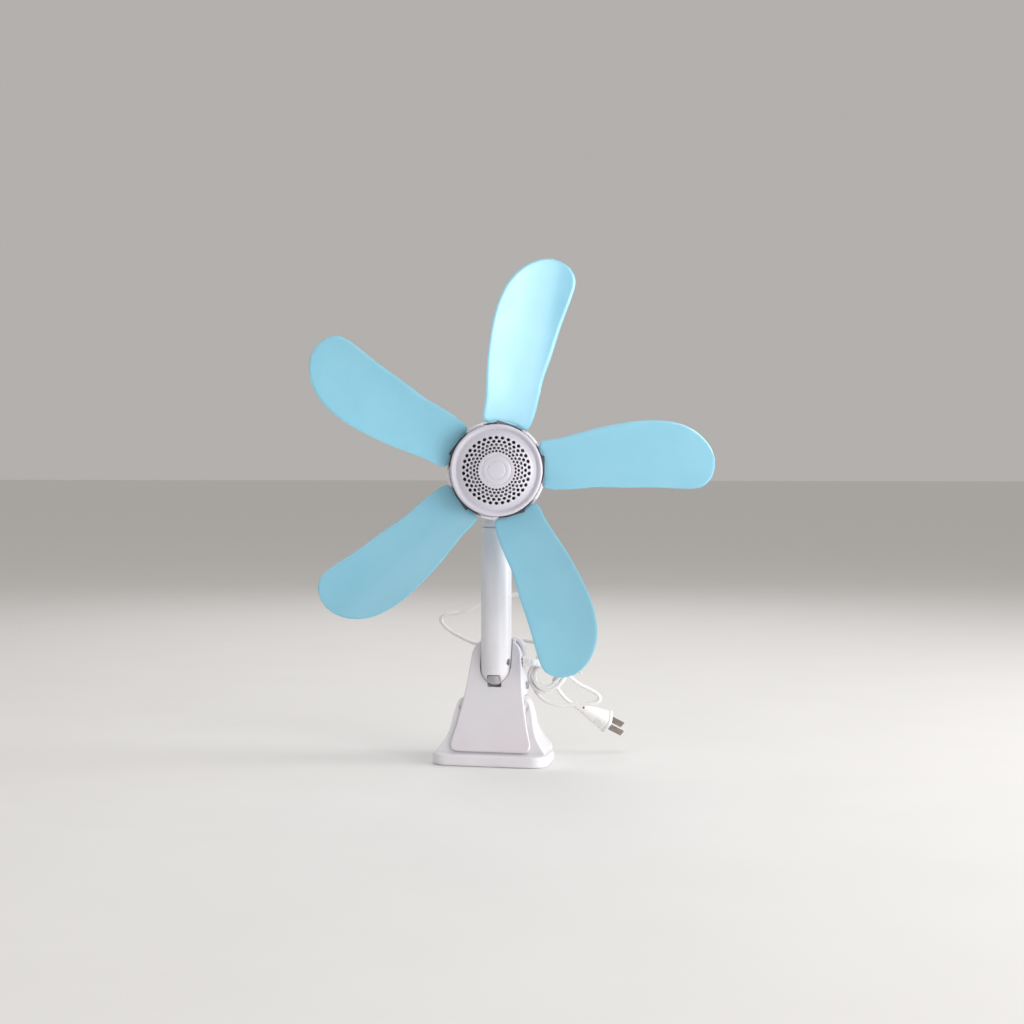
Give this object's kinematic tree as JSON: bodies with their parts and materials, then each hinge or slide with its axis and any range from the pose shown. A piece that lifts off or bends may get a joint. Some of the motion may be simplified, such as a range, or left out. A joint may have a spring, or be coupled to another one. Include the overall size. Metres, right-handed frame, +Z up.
{
  "type": "desk fan",
  "caption": "Clip-on desk fan with long blades on a round motor head, a tilting and swivelling pole, a wide spring clip that also stands on its own, and a tied mains lead with a flat plug.",
  "frame": {"origin": "on the floor, midway between the clip's two jaws and on the centre line of the clip", "axes": "+Z up, -Y towards the front of the clip, +X to the right seen from the front"},
  "size_m": [0.3788, 0.1769, 0.4874],
  "materials": {
    "white_plastic": "satin, faint lavender white",
    "plate_plastic": "satin, faint pinkish white",
    "blade_plastic": "glossy light blue",
    "dark_plastic": "matte dark grey",
    "cord_pvc": "smooth white PVC",
    "pad_rubber": "matte grey",
    "steel": "plain",
    "copper_wire": "enamelled copper",
    "brass": "dull"
  },
  "bodies": {
    "clip": {"front_jaw": "white_plastic", "front_plate": "plate_plastic", "front_pad": "pad_rubber", "tilt_bracket": "steel", "tilt_pin": "steel", "jaw_pivot_pin": "steel", "jaw_spring": "steel", "cord_gland": "white_plastic", "cord_exit": "cord_pvc", "cord_hank": "cord_pvc", "cord_tie": "cord_pvc", "cord_big_loop": "cord_pvc", "cord_side_loop": "cord_pvc", "cord_plug_run": "cord_pvc", "plug_body": "cord_pvc", "plug_pin_upper": "brass", "plug_pin_lower": "brass"},
    "clamp_jaw": {"rear_jaw": "white_plastic", "rear_pad": "pad_rubber"},
    "column": {"pole": "white_plastic", "knuckle_core": "dark_plastic", "core_screw": "steel", "switch_body": "dark_plastic", "pole_lead": "pad_rubber"},
    "rocker": {"switch_rocker": "dark_plastic"},
    "head": {"neck": "white_plastic", "swivel_washer": "pad_rubber", "motor_shaft": "steel", "shaft_nut": "steel", "stator_core": "steel", "front_winding": "copper_wire", "rear_winding": "copper_wire"},
    "rotor": {"rear_cover": "white_plastic", "front_cover": "white_plastic", "rotor_ring": "steel", "front_bearing": "brass", "rear_bearing": "brass", "blade_1": "blade_plastic", "blade_2": "blade_plastic", "blade_3": "blade_plastic", "blade_4": "blade_plastic", "blade_5": "blade_plastic", "blade_screw_1": "steel", "blade_screw_2": "steel", "blade_screw_3": "steel", "blade_screw_4": "steel", "blade_screw_5": "steel"}
  },
  "joints": [
    {"name": "jaw_open", "type": "hinge", "parent": "clip", "child": "clamp_jaw", "pos_m": [0, 0.01, 0.072], "axis": [1, 0, 0], "range_deg": [0, 25], "stiffness_Nm_per_rad": 1.2, "springref_deg": -22.92, "deforming": ["jaw_spring"]},
    {"name": "pole_tilt", "type": "hinge", "parent": "clip", "child": "column", "pos_m": [0, -0.008, 0.088], "axis": [1, 0, 0], "range_deg": [-10, 30]},
    {"name": "switch_rock", "type": "hinge", "parent": "column", "child": "rocker", "pos_m": [0, -0.0187, 0.081], "axis": [0, 0, 1], "range_deg": [-16, 0]},
    {"name": "head_swivel", "type": "hinge", "parent": "column", "child": "head", "pos_m": [0, -0.008, 0.229], "axis": [0, 0, 1], "range_deg": [-57, 33]},
    {"name": "rotor_spin", "type": "hinge", "parent": "head", "child": "rotor", "pos_m": [0.0104, -0.05691, 0.285], "axis": [0.2079, -0.9781, 0], "continuous": true}
  ]
}
